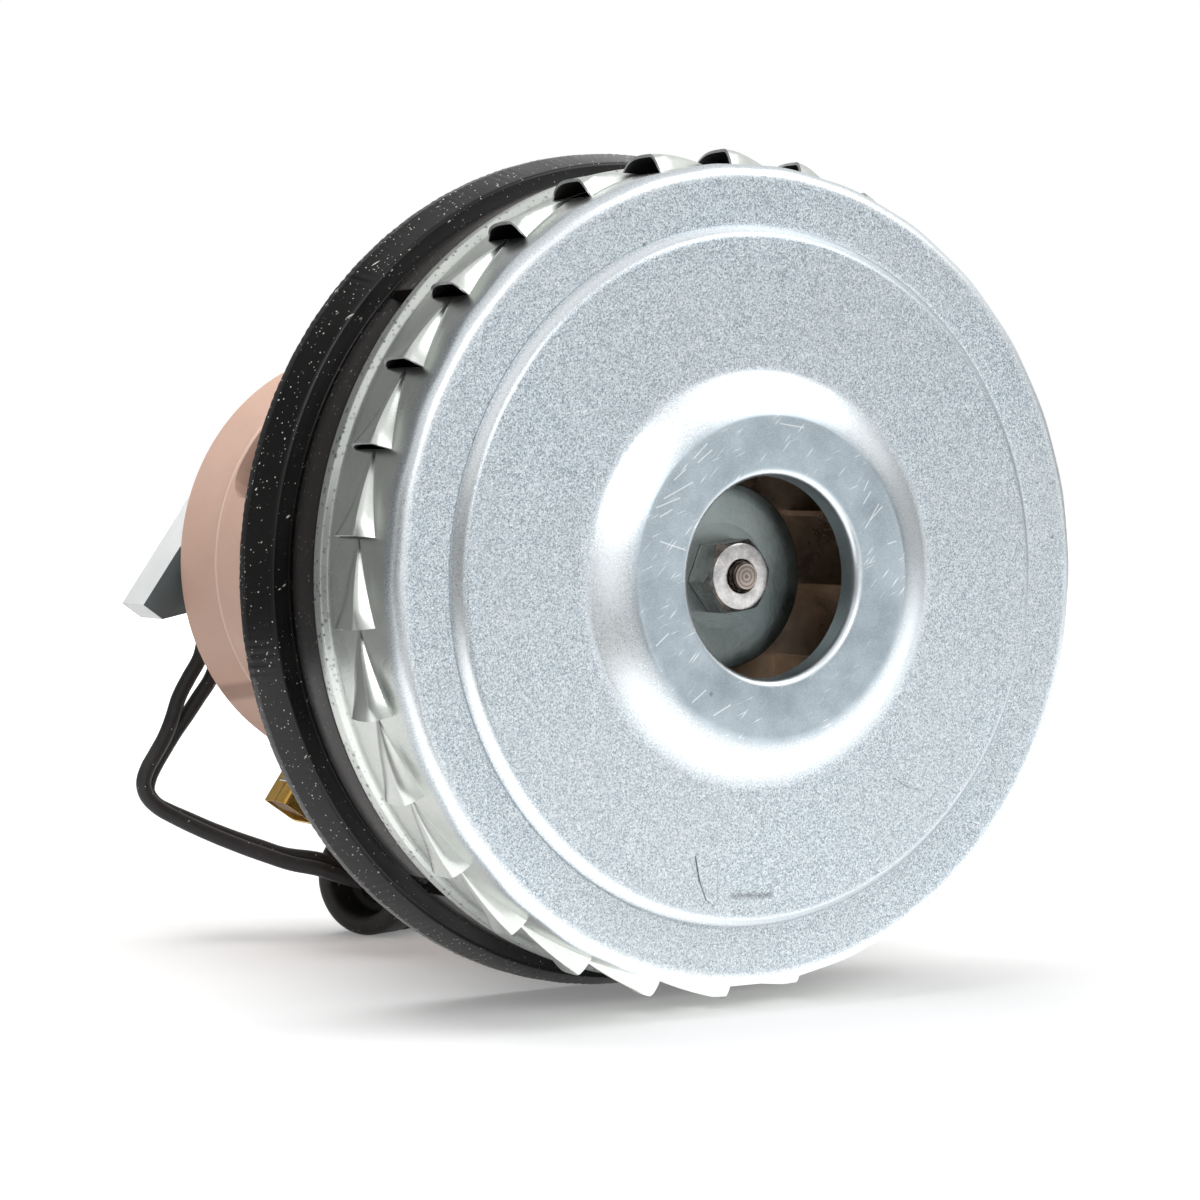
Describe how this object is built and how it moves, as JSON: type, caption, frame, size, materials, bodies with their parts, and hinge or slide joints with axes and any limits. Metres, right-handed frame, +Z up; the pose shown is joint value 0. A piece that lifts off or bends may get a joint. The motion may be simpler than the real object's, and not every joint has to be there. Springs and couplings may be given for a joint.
{
  "type": "vacuum motor unit",
  "caption": "Flow-through vacuum motor: louvred zinc-coated fan cover, black rubber seal ring, pink moulded motor housing, brass brush holders, terminal block and a pair of black leads",
  "frame": {"origin": "centre of the round inlet, halfway along its rolled lip, on the shaft axis", "axes": "+Y runs along the shaft from the inlet to the rear, +Z is up as the motor lies on its side, +X is to the right seen from the inlet"},
  "size_m": [0.14, 0.1462, 0.14],
  "materials": {
    "zinc_steel": "zinc coated pressed sheet, fine grain, soft shine",
    "seal_rubber": "black moulded rubber, soft sheen",
    "pink_moulding": "pinkish filled moulding compound, matt",
    "black_plastic": "black moulded plastic",
    "block_plastic": "blue-grey moulded plastic, matt",
    "ivory_plastic": "pale moulded plastic",
    "holder_brass": "folded brass sheet, slightly dull",
    "bright_steel": "plain turned or plated steel",
    "bearing_steel": "ground bearing steel",
    "fan_aluminium": "thin rolled sheet",
    "core_steel": "stacked sheets, painted edges",
    "copper_wire": "varnished copper wire",
    "carbon": "pressed carbon",
    "lead_cover": "black soft insulation, soft sheen"
  },
  "bodies": {
    "motor_body": {"fan_cover": "zinc_steel", "end_bracket": "black_plastic", "seal_ring": "seal_rubber", "front_bearing_outer": "bearing_steel", "stator_core": "core_steel", "field_coil_1": "copper_wire", "field_coil_2": "copper_wire", "motor_housing": "pink_moulding", "air_liner": "black_plastic", "brush_holder_1": "holder_brass", "brush_holder_2": "holder_brass", "brush_cap_1": "holder_brass", "brush_cap_2": "holder_brass", "brush_spring_1": "bright_steel", "brush_spring_2": "bright_steel", "rear_bearing_outer": "bearing_steel", "wave_washer": "bright_steel", "fan_shroud": "pink_moulding", "housing_screws": "bright_steel", "shroud_screws": "bright_steel", "terminal_block": "block_plastic", "lead_1": "lead_cover", "lead_2": "lead_cover", "grommet": "seal_rubber", "lead_connector": "ivory_plastic"},
    "rotor": {"shaft": "bright_steel", "shaft_nut": "bright_steel", "clamp_washer": "bright_steel", "impeller_hub": "fan_aluminium", "impeller_front_plate": "fan_aluminium", "impeller_blades": "fan_aluminium", "impeller_back_plate": "fan_aluminium", "rear_clamp_washer": "bright_steel", "shaft_spacer": "bright_steel", "front_bearing_inner": "bearing_steel", "rear_bearing_inner": "bearing_steel", "armature_core": "core_steel", "armature_winding": "copper_wire", "commutator": "copper_wire", "cooling_fan": "black_plastic"},
    "front_balls": {"front_bearing_balls": "bearing_steel"},
    "rear_balls": {"rear_bearing_balls": "bearing_steel"},
    "brush_1": {"carbon_brush_1": "carbon"},
    "brush_2": {"carbon_brush_2": "carbon"}
  },
  "joints": [
    {"name": "rotor_spin", "type": "hinge", "parent": "motor_body", "child": "rotor", "pos_m": [0, 0.069, 0], "axis": [0, -1, 0], "continuous": true},
    {"name": "front_balls_spin", "type": "hinge", "parent": "motor_body", "child": "front_balls", "pos_m": [0, 0.0307, 0], "axis": [0, -1, 0], "continuous": true},
    {"name": "rear_balls_spin", "type": "hinge", "parent": "motor_body", "child": "rear_balls", "pos_m": [0, 0.1158, 0], "axis": [0, -1, 0], "continuous": true},
    {"name": "brush_1_slide", "type": "slide", "parent": "motor_body", "child": "brush_1", "axis": [-0.6018, 0, -0.7986], "range_m": [0, 0.006], "stiffness_N_per_m": 150, "springref_m": -0.006, "deforming": ["brush_spring_1"]},
    {"name": "brush_2_slide", "type": "slide", "parent": "motor_body", "child": "brush_2", "axis": [0.6018, 0, 0.7986], "range_m": [0, 0.006], "stiffness_N_per_m": 150, "springref_m": -0.006, "deforming": ["brush_spring_2"]}
  ],
  "couplings": [
    {"joint": "front_balls_spin", "follows": "rotor_spin", "ratio": 0.3733},
    {"joint": "rear_balls_spin", "follows": "rotor_spin", "ratio": 0.3733}
  ]
}
